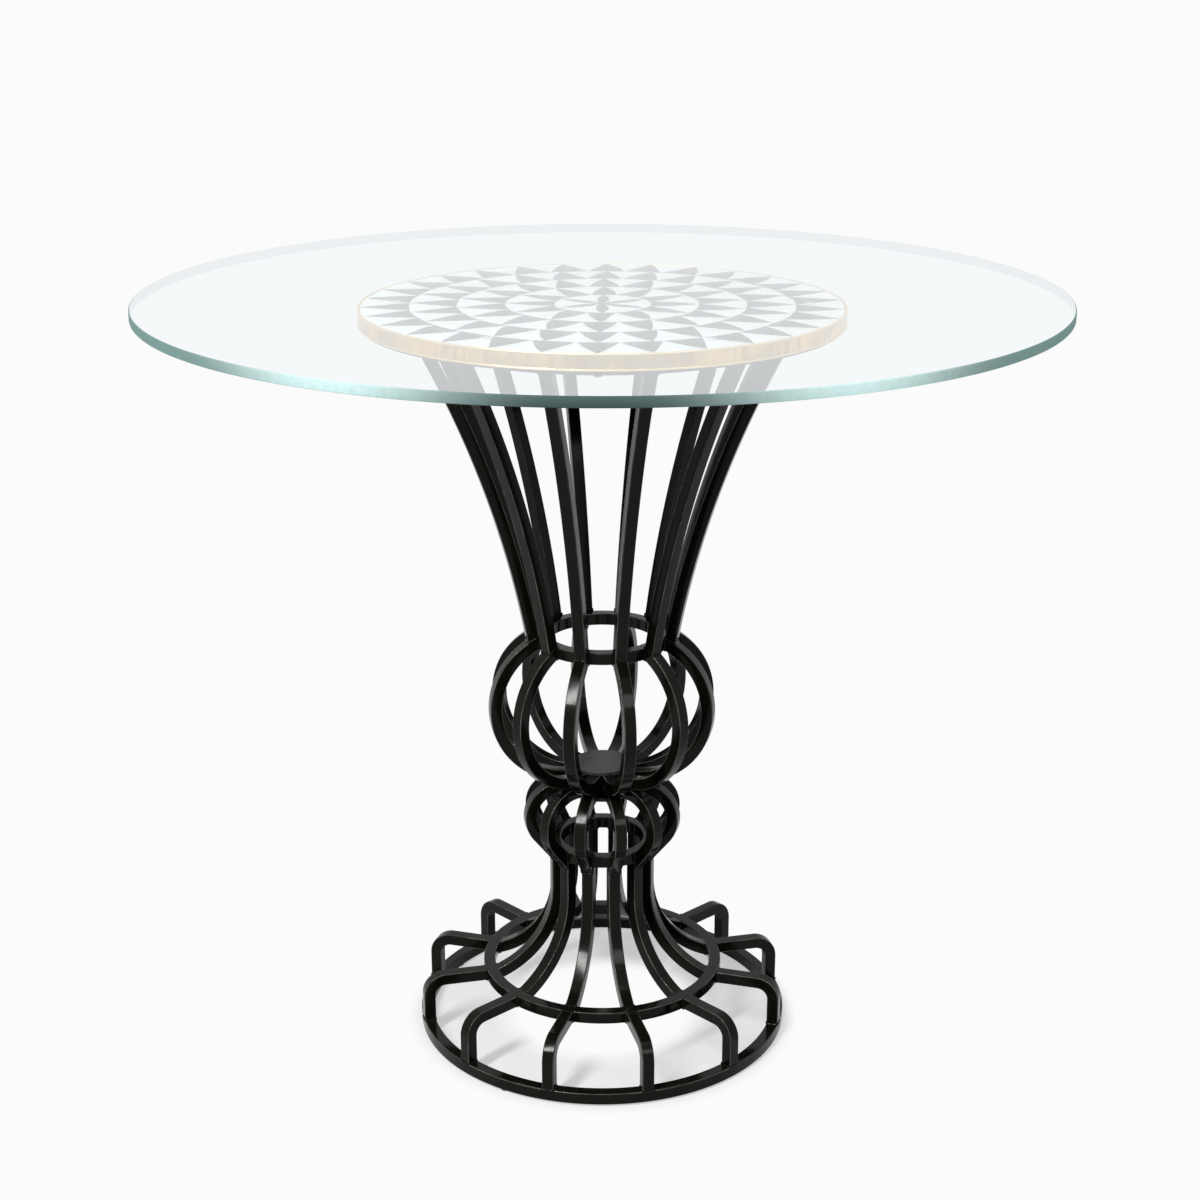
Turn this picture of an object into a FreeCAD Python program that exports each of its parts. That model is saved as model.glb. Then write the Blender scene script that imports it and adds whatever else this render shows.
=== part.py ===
import FreeCAD, Part
import math
import os
import Sketcher

# Accent table: a round glass top on a pedestal of bent square bars.
# Millimetres, +Z up, origin on the floor under the middle of the table.
# Every bar set repeats round the upright axis. Seen from the front, -Y, two bars straddle the view.

SIZES = (
    ("bar_size", 12, "side of the square bar that all ribs and rings are made of"),
    ("rib_count", 12, "bars in each set round the axis"),
    ("weld_gap", 0.3, "end of a bar to the round face it is welded to"),
    ("glide_height", 2, "floor to the underside of the foot ring"),
    ("foot_ring_radius", 190.7, "outside of the foot ring"),
    ("middle_ring_radius", 124.3, "outside of the ring that joins the flared ribs and the legs"),
    ("middle_ring_height", 65, "floor to the top of that ring"),
    ("leg_bend_inside", 11, "inside radius of the bend in a leg"),
    ("leg_chords", 4, "straight runs that a leg's bend is laid out in"),
    ("column_radius", 54.1, "axis to the outer face of the column"),
    ("column_straight", 39.8, "upright run of a flared rib, from the bend up to the collar"),
    ("flare_bend_radius", 92.5, "radius of the flare's upper face"),
    ("flare_chords", 8, "straight runs in the flare"),
    ("knob_bend_radius", 38.3, "radius of the outer face of a knob rib"),
    ("knob_bend_offset", 43.1, "axis to the centre of that radius"),
    ("knob_foot_lean", 39, "degrees from upright at which a knob rib comes in to the collar"),
    ("knob_chords", 8, "straight runs in a knob rib's bend"),
    ("globe_bend_radius", 82.1, "radius of the outer face of a globe rib"),
    ("globe_bend_offset", 33.7, "axis to the centre of that radius"),
    ("globe_chords", 16, "straight runs in a globe rib"),
    ("rib_end_gap", 0.8, "how far the ribs' inner ends stop short of crowding each other"),
    ("hub_lap", 7, "how far a hub plate reaches over the ribs' inner ends"),
    ("hub_thickness", 4, "thickness of a hub plate"),
    ("hub_sides", 40, "sides of a hub plate"),
    ("neck_ring_radius", 65.5, "outside of the neck ring"),
    ("vase_bend_radius", 1031, "radius of the outer face of a vase rib"),
    ("vase_chords", 6, "straight runs in a vase rib"),
    ("top_ring_radius", 181.7, "outside of the ring under the disc"),
    ("top_ring_height", 737, "floor to the top of that ring"),
    ("disc_radius", 229, "painted disc, without its band"),
    ("disc_thickness", 18, "painted disc and the height of its band"),
    ("band_thickness", 2.5, "metal band round the disc"),
    ("glass_radius", 439, "glass top"),
    ("glass_thickness", 9.5, "glass top"),
    ("glass_arris", 0.8, "small bevel on both edges of the glass"),
    ("bumper_count", 6, "clear bumpers between disc and glass"),
    ("bumper_circle_radius", 196, "axis to the middle of a bumper"),
    ("bumper_radius", 5, "across a bumper's corners, halved"),
    ("bumper_height", 1.5, "disc to glass"),
    ("screw_count", 4, "screws that hold the disc on the top ring"),
    ("screw_shank_radius", 2, "across the shank's corners, halved"),
    ("screw_head_radius", 4, "across the hexagon head's corners, halved"),
    ("screw_head_height", 2.4, "hexagon head"),
    ("screw_bite", 12, "how far a screw runs up into the disc"),
    ("screw_clearance", 0.3, "hole in the ring to the screw's shank"),
    ("pilot_clearance", 0.1, "pilot hole in the disc to the screw, round it and past its tip"),
    ("glide_count", 4, "glides under the foot ring"),
    ("first_glide_angle", 60, "degrees from +X to the first glide"),
    ("glide_radius", 5, "across a glide's corners, halved"),
    ("small_round_sides", 12, "sides of the small round pieces"),
    ("hexagon_sides", 6, "sides of a screw's head"),
)

# Sizes that follow from the driving ones, each written once for the pieces that share it.
RIB_STEP = "(360 deg / Sizes.rib_count)"
FOOT_RING_TOP = "(Sizes.glide_height + Sizes.bar_size)"
LEG_START = "(Sizes.middle_ring_radius + Sizes.weld_gap)"
LEG_BEND_OUTSIDE = "(Sizes.leg_bend_inside + Sizes.bar_size)"
FLARE_END = "(Sizes.middle_ring_radius - Sizes.bar_size - Sizes.weld_gap)"
FLARE_BEND_UNDERSIDE = "(Sizes.flare_bend_radius + Sizes.bar_size)"
FLARE_REACH = "(Sizes.column_radius + Sizes.flare_bend_radius - %s)" % FLARE_END
FLARE_START = "(Sizes.middle_ring_height + sqrt(Sizes.flare_bend_radius^2 - %s^2))" % FLARE_REACH
COLLAR_BOTTOM = "(%s + Sizes.column_straight)" % FLARE_START
KNOB_BEND_INSIDE = "(Sizes.knob_bend_radius - Sizes.bar_size)"
KNOB_FOOT_RADIUS = "(Sizes.column_radius + Sizes.weld_gap)"
KNOB_LEAN = "(Sizes.knob_foot_lean * 1 deg)"
KNOB_TURN_OUTSIDE = "(Sizes.knob_bend_offset + Sizes.knob_bend_radius * cos(%s))" % KNOB_LEAN
KNOB_TURN_INSIDE = "(Sizes.knob_bend_offset + %s * cos(%s))" % (KNOB_BEND_INSIDE, KNOB_LEAN)
KNOB_DROP = "(%s * sin(%s))" % (KNOB_BEND_INSIDE, KNOB_LEAN)
KNOB_SLANT_RISE = "((%s - %s) / tan(%s))" % (KNOB_TURN_INSIDE, KNOB_FOOT_RADIUS, KNOB_LEAN)
COLLAR_TOP = "(%s + Sizes.bar_size)" % COLLAR_BOTTOM
KNOB_CENTRE_HEIGHT = "(%s + %s + %s)" % (COLLAR_TOP, KNOB_SLANT_RISE, KNOB_DROP)
KNOB_TOP = "(%s + Sizes.knob_bend_radius)" % KNOB_CENTRE_HEIGHT
GLOBE_CENTRE_HEIGHT = "(%s + Sizes.globe_bend_radius)" % KNOB_TOP
GLOBE_BEND_INSIDE = "(Sizes.globe_bend_radius - Sizes.bar_size)"
GLOBE_SEAT_RADIUS = "(Sizes.globe_bend_radius + Sizes.weld_gap)"
NECK_SEAT_RADIUS = "(Sizes.neck_ring_radius + Sizes.weld_gap)"
NECK_REACH = "(%s - Sizes.globe_bend_offset)" % NECK_SEAT_RADIUS
NECK_RISE = "sqrt(%s^2 - %s^2)" % (GLOBE_BEND_INSIDE, NECK_REACH)
NECK_RING_BOTTOM = "(%s + %s)" % (GLOBE_CENTRE_HEIGHT, NECK_RISE)
RIB_END_RADIUS = "(Sizes.bar_size / 2 / tan(%s / 2) + Sizes.rib_end_gap)" % RIB_STEP
HUB_RADIUS = "(%s + Sizes.hub_lap)" % RIB_END_RADIUS
HUB_BOTTOM = "(%s + Sizes.bar_size)" % KNOB_TOP
KNOB_PLATE_TOP = "(%s - Sizes.bar_size)" % KNOB_TOP
VASE_BEND_INSIDE = "(Sizes.vase_bend_radius + Sizes.bar_size)"
TOP_RING_BOTTOM = "(Sizes.top_ring_height - Sizes.bar_size)"
SCREW_CIRCLE = "(Sizes.top_ring_radius - Sizes.bar_size / 2)"
DISC_TOP = "(Sizes.top_ring_height + Sizes.disc_thickness)"
BAND_RADIUS = "(Sizes.disc_radius + Sizes.band_thickness)"
GLASS_BOTTOM = "(%s + Sizes.bumper_height)" % DISC_TOP
GLIDE_CIRCLE = "(Sizes.foot_ring_radius - Sizes.bar_size / 2)"

START, END, CENTRE = range(1, 4)
HORIZONTAL_AXIS = ORIGIN = -1
SECTION_PLANE, FLOOR_PLANE, UPRIGHT_AXIS = "XZ_Plane", "XY_Plane", "Z_Axis"
UP = FreeCAD.Vector(0, 0, 1)


def size_sheet(doc):
    """The driving dimensions, one row each: name, value, what it measures."""
    sheet = doc.addObject("Spreadsheet::Sheet", "Sizes")
    for row, (name, value, note) in enumerate(SIZES, start=1):
        sheet.set("A%d" % row, name)
        sheet.set("B%d" % row, str(value))
        sheet.setAlias("B%d" % row, name)
        sheet.set("C%d" % row, note)
    doc.recompute()
    return sheet


def origin_feature(body, role):
    return next(item for item in body.Origin.OriginFeatures if item.Role == role)


def crossings(centre, radius, other_centre, other_radius):
    """Both points where two circles cross."""
    apart = other_centre - centre
    along = (apart.Length ** 2 + radius ** 2 - other_radius ** 2) / (2 * apart.Length)
    across = math.sqrt(radius ** 2 - along ** 2)
    forward = apart / apart.Length
    sideways = FreeCAD.Vector(forward.y, -forward.x, 0)
    return [centre + forward * along + sideways * across * turn for turn in (1, -1)]


def outermost(points):
    return max(points, key=lambda point: point.x)


def highest(points):
    return max(points, key=lambda point: point.y)


class Outline:
    """A closed sketch outline. Its bends are laid out in equal chords of a construction arc."""

    def __init__(self, body, sheet, name, plane=SECTION_PLANE):
        self.sheet = sheet
        self.edges = []
        self.sketch = body.newObject("Sketcher::SketchObject", name)
        self.sketch.AttachmentSupport = (origin_feature(body, plane), [""])
        self.sketch.MapMode = "FlatFace"

    def size(self, expression):
        return float(self.sheet.evalExpression(expression))

    def point(self, across, up):
        return FreeCAD.Vector(self.size(across), self.size(up), 0)

    def constrain(self, kind, *targets):
        return self.sketch.addConstraint(Sketcher.Constraint(kind, *targets))

    def measure(self, kind, expression, *targets):
        """A dimension bound to the sheet."""
        index = self.constrain(kind, *targets, self.size(expression))
        self.sketch.setExpression("Constraints[%d]" % index, expression)

    def place(self, spot, across=None, up=None):
        """Fix a vertex by its distance from the axis and its height."""
        if across is not None:
            self.measure("DistanceX", across, ORIGIN, START, *spot)
        if up is not None:
            self.measure("DistanceY", up, ORIGIN, START, *spot)

    def line(self, start, end):
        edge = self.sketch.addGeometry(Part.LineSegment(start, end), False)
        self.edges.append(edge)
        return edge

    def guide_circle(self, centre, radius):
        return self.sketch.addGeometry(Part.Circle(centre, UP, radius), True)

    def chords(self, guide, points):
        """Equal lines from point to point, their inner vertices held on the guide."""
        lines = [self.line(start, end) for start, end in zip(points, points[1:])]
        for line in lines[1:]:
            self.constrain("Equal", lines[0], line)
            self.constrain("PointOnObject", line, START, guide)
        return lines

    def bend(self, centre, start, end, count, clockwise=False):
        """Chords from start to end round the centre; the guide is an arc through both."""
        first, last = (end, start) if clockwise else (start, end)
        angles = [math.atan2(spot.y - centre.y, spot.x - centre.x) for spot in (first, last)]
        if angles[1] < angles[0]:
            angles[1] += 2 * math.pi
        radius = (start - centre).Length
        guide = self.sketch.addGeometry(Part.ArcOfCircle(Part.Circle(centre, UP, radius), *angles), True)
        shares = [step / count for step in range(count + 1)]
        turns = [angles[0] + (angles[1] - angles[0]) * share for share in shares]
        points = [centre + FreeCAD.Vector(math.cos(turn), math.sin(turn), 0) * radius for turn in turns]
        guide_ends = (END, START) if clockwise else (START, END)
        lines = self.chords(guide, points[::-1] if clockwise else points)
        self.constrain("Coincident", guide, guide_ends[0], lines[0], START)
        self.constrain("Coincident", guide, guide_ends[1], lines[-1], END)
        return guide

    def close(self):
        """Join each edge's end to the next edge's start, all the way round."""
        for edge, following in zip(self.edges, self.edges[1:] + self.edges[:1]):
            self.constrain("Coincident", edge, END, following, START)

    def seat_on_globe(self, line):
        """Hold both ends of a cut on the circle just clear of the globe ribs' outer faces."""
        centre = self.point("Sizes.globe_bend_offset", GLOBE_CENTRE_HEIGHT)
        guide = self.guide_circle(centre, self.size(GLOBE_SEAT_RADIUS))
        self.measure("Radius", GLOBE_SEAT_RADIUS, guide)
        self.place((guide, CENTRE), "Sizes.globe_bend_offset", GLOBE_CENTRE_HEIGHT)
        for end in (START, END):
            self.constrain("PointOnObject", line, end, guide)


def vase_outline(body, sheet, name):
    """Shallow outward bend, cut square under the top ring and seated on the globe rib at its foot."""
    out = Outline(body, sheet, name)
    globe = out.point("Sizes.globe_bend_offset", GLOBE_CENTRE_HEIGHT)
    seat = out.size(GLOBE_SEAT_RADIUS)
    foot_x = out.size(NECK_SEAT_RADIUS)
    inner_foot = FreeCAD.Vector(foot_x, globe.y + math.sqrt(seat ** 2 - (foot_x - globe.x) ** 2), 0)
    outer_top = out.point("Sizes.top_ring_radius", TOP_RING_BOTTOM)
    bend, inside_bend = out.size("Sizes.vase_bend_radius"), out.size(VASE_BEND_INSIDE)
    centre = outermost(crossings(inner_foot, inside_bend, outer_top, bend))
    outer_foot = highest(crossings(globe, seat, centre, bend))
    top_rise = outer_top.y - centre.y
    inner_top = FreeCAD.Vector(centre.x - math.sqrt(inside_bend ** 2 - top_rise ** 2), outer_top.y, 0)
    count = int(sheet.vase_chords)

    outer = out.bend(centre, outer_top, outer_foot, count)
    foot = out.line(outer_foot, inner_foot)
    inner = out.bend(centre, inner_foot, inner_top, count, clockwise=True)
    top = out.line(inner_top, outer_top)
    out.close()
    out.constrain("Coincident", outer, CENTRE, inner, CENTRE)
    out.constrain("Horizontal", top)
    out.measure("Radius", "Sizes.vase_bend_radius", outer)
    out.measure("Radius", VASE_BEND_INSIDE, inner)
    out.seat_on_globe(foot)
    out.place((top, END), "Sizes.top_ring_radius", TOP_RING_BOTTOM)
    out.place((foot, END), NECK_SEAT_RADIUS)
    return out.sketch


def globe_outline(body, sheet, name):
    """Round belly from the neck ring out and in again, running flat under the hub plate."""
    out = Outline(body, sheet, name)
    centre = out.point("Sizes.globe_bend_offset", GLOBE_CENTRE_HEIGHT)
    bend, inside_bend = out.size("Sizes.globe_bend_radius"), out.size(GLOBE_BEND_INSIDE)
    neck_x, end_x = out.size(NECK_SEAT_RADIUS), out.size(RIB_END_RADIUS)
    outer_neck, inner_neck = (
        FreeCAD.Vector(neck_x, centre.y + math.sqrt(radius ** 2 - (neck_x - centre.x) ** 2), 0)
        for radius in (bend, inside_bend)
    )
    outer_low, inner_low = (centre - FreeCAD.Vector(0, radius, 0) for radius in (bend, inside_bend))
    outer_end, inner_end = (FreeCAD.Vector(end_x, low.y, 0) for low in (outer_low, inner_low))
    count = int(sheet.globe_chords)

    outer = out.bend(centre, outer_neck, outer_low, count, clockwise=True)
    under = out.line(outer_low, outer_end)
    tip = out.line(outer_end, inner_end)
    upper = out.line(inner_end, inner_low)
    inner = out.bend(centre, inner_low, inner_neck, count)
    neck = out.line(inner_neck, outer_neck)
    out.close()
    out.constrain("Coincident", outer, CENTRE, inner, CENTRE)
    for flat in (under, upper):
        out.constrain("Horizontal", flat)
    for upright in (tip, neck):
        out.constrain("Vertical", upright)
    out.measure("Radius", "Sizes.globe_bend_radius", outer)
    out.measure("Radius", GLOBE_BEND_INSIDE, inner)
    out.place((outer, CENTRE), "Sizes.globe_bend_offset", GLOBE_CENTRE_HEIGHT)
    out.place((under, START), "Sizes.globe_bend_offset")
    out.place((upper, END), "Sizes.globe_bend_offset")
    out.place((tip, START), RIB_END_RADIUS)
    out.place((neck, START), NECK_SEAT_RADIUS)
    return out.sketch


def knob_outline(body, sheet, name):
    """Small belly: level under the globe rib, one bend, then a slant in to an upright cut at the collar."""
    out = Outline(body, sheet, name)
    centre = out.point("Sizes.knob_bend_offset", KNOB_CENTRE_HEIGHT)
    bend, inside_bend = out.size("Sizes.knob_bend_radius"), out.size(KNOB_BEND_INSIDE)
    outer_high, inner_high = (centre + FreeCAD.Vector(0, radius, 0) for radius in (bend, inside_bend))
    outer_turn, inner_turn = (
        FreeCAD.Vector(across, centre.y - math.sqrt(radius ** 2 - (across - centre.x) ** 2), 0)
        for across, radius in ((out.size(KNOB_TURN_OUTSIDE), bend), (out.size(KNOB_TURN_INSIDE), inside_bend))
    )
    inner_foot = out.point(KNOB_FOOT_RADIUS, COLLAR_TOP)
    slant = inner_foot - inner_turn
    outer_foot = outer_turn + slant * ((inner_foot.x - outer_turn.x) / slant.x)
    end_x = out.size(RIB_END_RADIUS)
    outer_end, inner_end = (FreeCAD.Vector(end_x, high.y, 0) for high in (outer_high, inner_high))
    count = int(sheet.knob_chords)

    upper = out.line(outer_end, outer_high)
    outer = out.bend(centre, outer_high, outer_turn, count, clockwise=True)
    outer_slant = out.line(outer_turn, outer_foot)
    foot = out.line(outer_foot, inner_foot)
    inner_slant = out.line(inner_foot, inner_turn)
    inner = out.bend(centre, inner_turn, inner_high, count)
    under = out.line(inner_high, inner_end)
    tip = out.line(inner_end, outer_end)
    out.close()
    out.constrain("Coincident", outer, CENTRE, inner, CENTRE)
    for flat in (upper, under):
        out.constrain("Horizontal", flat)
    for upright in (tip, foot):
        out.constrain("Vertical", upright)
    out.constrain("Parallel", outer_slant, inner_slant)
    out.measure("Radius", "Sizes.knob_bend_radius", outer)
    out.measure("Radius", KNOB_BEND_INSIDE, inner)
    out.place((outer, CENTRE), "Sizes.knob_bend_offset", KNOB_CENTRE_HEIGHT)
    out.place((upper, END), "Sizes.knob_bend_offset")
    out.place((under, START), "Sizes.knob_bend_offset")
    out.place((outer_slant, START), KNOB_TURN_OUTSIDE)
    out.place((inner_slant, END), KNOB_TURN_INSIDE)
    out.place((inner_slant, START), KNOB_FOOT_RADIUS, COLLAR_TOP)
    out.place((tip, START), RIB_END_RADIUS)
    return out.sketch


def flare_outline(body, sheet, name):
    """Straight down from the collar, then a wide sweep out to the inside of the middle ring."""
    out = Outline(body, sheet, name)
    column_x, inner_x = out.size("Sizes.column_radius"), out.size("Sizes.column_radius - Sizes.bar_size")
    collar_y, start_y = out.size(COLLAR_BOTTOM), out.size(FLARE_START)
    centre = FreeCAD.Vector(column_x + out.size("Sizes.flare_bend_radius"), start_y, 0)
    ring_top = out.point(FLARE_END, "Sizes.middle_ring_height")
    under_drop = math.sqrt(out.size(FLARE_BEND_UNDERSIDE) ** 2 - (centre.x - ring_top.x) ** 2)
    ring_low = FreeCAD.Vector(ring_top.x, start_y - under_drop, 0)
    outer_top, inner_top = (FreeCAD.Vector(across, collar_y, 0) for across in (column_x, inner_x))
    outer_start, inner_start = (FreeCAD.Vector(across, start_y, 0) for across in (column_x, inner_x))
    count = int(sheet.flare_chords)

    face = out.line(outer_top, outer_start)
    sweep = out.bend(centre, outer_start, ring_top, count)
    end = out.line(ring_top, ring_low)
    under = out.bend(centre, ring_low, inner_start, count, clockwise=True)
    back = out.line(inner_start, inner_top)
    top = out.line(inner_top, outer_top)
    out.close()
    out.constrain("Coincident", sweep, CENTRE, under, CENTRE)
    for upright in (face, end, back):
        out.constrain("Vertical", upright)
    out.constrain("Horizontal", top)
    out.constrain("Horizontal", sweep, CENTRE, face, END)
    out.constrain("Horizontal", sweep, CENTRE, back, START)
    out.measure("Radius", "Sizes.flare_bend_radius", sweep)
    out.measure("Radius", FLARE_BEND_UNDERSIDE, under)
    out.place((face, START), "Sizes.column_radius", COLLAR_BOTTOM)
    out.place((end, START), FLARE_END, "Sizes.middle_ring_height")
    return out.sketch


def leg_outline(body, sheet, name):
    """Level from the middle ring, one tight bend, and down onto the foot ring."""
    out = Outline(body, sheet, name)
    ring_top = out.point(LEG_START, "Sizes.middle_ring_height")
    ring_low = ring_top - FreeCAD.Vector(0, out.size("Sizes.bar_size"), 0)
    foot_outer = out.point("Sizes.foot_ring_radius", FOOT_RING_TOP)
    foot_inner = foot_outer - FreeCAD.Vector(out.size("Sizes.bar_size"), 0, 0)
    bend = out.size(LEG_BEND_OUTSIDE)
    centre = FreeCAD.Vector(foot_outer.x - bend, ring_top.y - bend, 0)
    level_end, under_end = (FreeCAD.Vector(centre.x, edge.y, 0) for edge in (ring_top, ring_low))
    bend_end, crook_end = (FreeCAD.Vector(edge.x, centre.y, 0) for edge in (foot_outer, foot_inner))
    count = int(sheet.leg_chords)

    level = out.line(ring_top, level_end)
    outer_bend = out.bend(centre, level_end, bend_end, count, clockwise=True)
    front = out.line(bend_end, foot_outer)
    foot = out.line(foot_outer, foot_inner)
    back = out.line(foot_inner, crook_end)
    inner_bend = out.bend(centre, crook_end, under_end, count)
    under = out.line(under_end, ring_low)
    butt = out.line(ring_low, ring_top)
    out.close()
    out.constrain("Coincident", outer_bend, CENTRE, inner_bend, CENTRE)
    for flat in (level, foot, under):
        out.constrain("Horizontal", flat)
    for upright in (front, back, butt):
        out.constrain("Vertical", upright)
    for spot in ((level, END), (under, START)):
        out.constrain("Vertical", outer_bend, CENTRE, *spot)
    for spot in ((front, START), (back, END)):
        out.constrain("Horizontal", outer_bend, CENTRE, *spot)
    out.measure("Radius", LEG_BEND_OUTSIDE, outer_bend)
    out.measure("Radius", "Sizes.leg_bend_inside", inner_bend)
    out.place((level, START), LEG_START, "Sizes.middle_ring_height")
    out.place((foot, START), "Sizes.foot_ring_radius", FOOT_RING_TOP)
    return out.sketch


def polygon_outline(body, sheet, name, corners):
    """A straight-sided section; each corner is a distance from the axis and a height."""
    out = Outline(body, sheet, name)
    points = [out.point(across, up) for across, up in corners]
    for start, end in zip(points, points[1:] + points[:1]):
        out.line(start, end)
    out.close()
    for edge, (across, up) in zip(out.edges, corners):
        out.place((edge, START), across, up)
    return out.sketch


def new_body(doc, label):
    body = doc.addObject("PartDesign::Body", label)
    body.Label = label
    return body


def turn_body(body, angle):
    """Stand the body turned about the upright axis."""
    body.Placement = FreeCAD.Placement(FreeCAD.Vector(), FreeCAD.Rotation(UP, 0))
    body.setExpression("Placement.Rotation.Angle", angle)


def bar_pad(body, sketch):
    """The outline thickened both ways to the bar's width."""
    pad = body.newObject("PartDesign::Pad", body.Name + "_bar")
    pad.Profile = sketch
    pad.SideType = "Symmetric"
    pad.setExpression("Length", "Sizes.bar_size")
    return pad


def repeat_round(body, features, count, name):
    """The features copied evenly round the upright axis."""
    pattern = body.newObject("PartDesign::PolarPattern", name)
    pattern.Originals = features
    pattern.Axis = (origin_feature(body, UPRIGHT_AXIS), [""])
    pattern.Angle = 360
    pattern.setExpression("Occurrences", count)
    body.Tip = pattern
    return pattern


def single_rib(doc, sheet, label, outline, number):
    """One bent bar as a piece of its own, turned to its place in the set."""
    body = new_body(doc, label)
    bar_pad(body, outline(body, sheet, label + "_outline"))
    turn_body(body, "(%d - 1 / 2) * %s" % (number, RIB_STEP))
    return body


def rib_set(doc, sheet, label, outline):
    """A whole set of bent bars in one body."""
    body = new_body(doc, label)
    bar = bar_pad(body, outline(body, sheet, label + "_outline"))
    repeat_round(body, [bar], "Sizes.rib_count", label + "_round")
    turn_body(body, "%s / 2" % RIB_STEP)
    return body


def revolve(body, sketch):
    turned = body.newObject("PartDesign::Revolution", body.Name + "_turned")
    turned.Profile = sketch
    turned.ReferenceAxis = (sketch, ["V_Axis"])
    turned.Angle = 360
    return turned


def round_section(doc, sheet, label, inner, outer, bottom, top):
    """A plain ring, or a disc where inner is zero."""
    body = new_body(doc, label)
    corners = ((inner, bottom), (outer, bottom), (outer, top), (inner, top))
    revolve(body, polygon_outline(body, sheet, label + "_section", corners))
    return body


def bar_ring(doc, sheet, label, outer, bottom):
    """The square bar rolled into a hoop."""
    return round_section(doc, sheet, label, outer + " - Sizes.bar_size", outer, bottom,
                         bottom + " + Sizes.bar_size")


def drill_round(doc, sheet, body, circle, radius, bottom, depth, count):
    """Holes on a circle, drilled up from the given height and repeated round the axis."""
    out = Outline(body, sheet, body.Name + "_drilling", FLOOR_PLANE)
    out.sketch.setExpression("AttachmentOffset.Base.z", bottom)
    spot = FreeCAD.Vector(out.size(circle), 0, 0)
    hole = out.sketch.addGeometry(Part.Circle(spot, UP, out.size(radius)), False)
    out.constrain("PointOnObject", hole, CENTRE, HORIZONTAL_AXIS)
    out.place((hole, CENTRE), circle)
    out.measure("Radius", radius, hole)
    pocket = body.newObject("PartDesign::Pocket", body.Name + "_hole")
    pocket.Profile = out.sketch
    pocket.Reversed = True
    pocket.setExpression("Length", depth)
    repeat_round(body, [pocket], count, body.Name + "_holes")


def prism(body, sheet, name, circle, radius, sides, bottom, height):
    """A small many-sided round that stands on the +X axis at the given distance from the middle."""
    out = Outline(body, sheet, name + "_outline", FLOOR_PLANE)
    out.sketch.setExpression("AttachmentOffset.Base.z", bottom)
    centre, reach = FreeCAD.Vector(out.size(circle), 0, 0), out.size(radius)
    turns = [2 * math.pi * side / sides for side in range(sides)]
    points = [centre + FreeCAD.Vector(math.cos(turn), math.sin(turn), 0) * reach for turn in turns]
    guide = out.guide_circle(centre, reach)
    lines = out.chords(guide, points + points[:1])
    out.close()
    out.constrain("PointOnObject", lines[0], START, guide)
    out.constrain("PointOnObject", lines[0], START, HORIZONTAL_AXIS)
    out.constrain("PointOnObject", guide, CENTRE, HORIZONTAL_AXIS)
    out.place((guide, CENTRE), circle)
    out.measure("Radius", radius, guide)
    pad = body.newObject("PartDesign::Pad", name)
    pad.Profile = out.sketch
    pad.setExpression("Length", height)
    return pad


def foot_ring(doc, sheet):
    """Hoop near the floor that all the legs stand on."""
    return bar_ring(doc, sheet, "foot_ring", "Sizes.foot_ring_radius", "Sizes.glide_height")


def glides(doc, sheet):
    """Plastic buttons that keep the foot ring off the floor."""
    body = new_body(doc, "glides")
    button = prism(body, sheet, "glide_button", GLIDE_CIRCLE, "Sizes.glide_radius",
                   int(sheet.small_round_sides), "0", "Sizes.glide_height")
    repeat_round(body, [button], "Sizes.glide_count", "glides_round")
    turn_body(body, "Sizes.first_glide_angle * 1 deg")
    return body


def top_ring(doc, sheet):
    """Hoop under the disc, drilled through for the screws."""
    body = bar_ring(doc, sheet, "top_ring", "Sizes.top_ring_radius", TOP_RING_BOTTOM)
    doc.recompute()
    drill_round(doc, sheet, body, SCREW_CIRCLE, "Sizes.screw_shank_radius + Sizes.screw_clearance",
                TOP_RING_BOTTOM, "Sizes.bar_size", "Sizes.screw_count")
    return body


def painted_disc(doc, sheet):
    """Painted board with blind pilot holes in its underside."""
    body = round_section(doc, sheet, "painted_disc", "0", "Sizes.disc_radius",
                         "Sizes.top_ring_height", DISC_TOP)
    doc.recompute()
    drill_round(doc, sheet, body, SCREW_CIRCLE, "Sizes.screw_shank_radius + Sizes.pilot_clearance",
                "Sizes.top_ring_height", "Sizes.screw_bite + Sizes.pilot_clearance", "Sizes.screw_count")
    return body


def disc_screws(doc, sheet):
    """Hexagon-headed screws up through the top ring into the disc."""
    body = new_body(doc, "disc_screws")
    head = prism(body, sheet, "screw_head", SCREW_CIRCLE, "Sizes.screw_head_radius",
                 int(sheet.hexagon_sides), TOP_RING_BOTTOM + " - Sizes.screw_head_height",
                 "Sizes.screw_head_height")
    shank = prism(body, sheet, "screw_shank", SCREW_CIRCLE, "Sizes.screw_shank_radius",
                  int(sheet.small_round_sides), TOP_RING_BOTTOM, "Sizes.bar_size + Sizes.screw_bite")
    repeat_round(body, [head, shank], "Sizes.screw_count", "disc_screws_round")
    return body


def edge_band(doc, sheet):
    """Metal band round the disc."""
    return round_section(doc, sheet, "edge_band", "Sizes.disc_radius", BAND_RADIUS,
                         "Sizes.top_ring_height", DISC_TOP)


def bumpers(doc, sheet):
    """Clear stick-on bumpers that the glass lies on."""
    body = new_body(doc, "bumpers")
    button = prism(body, sheet, "bumper_button", "Sizes.bumper_circle_radius", "Sizes.bumper_radius",
                   int(sheet.small_round_sides), DISC_TOP, "Sizes.bumper_height")
    repeat_round(body, [button], "Sizes.bumper_count", "bumpers_round")
    return body


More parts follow.
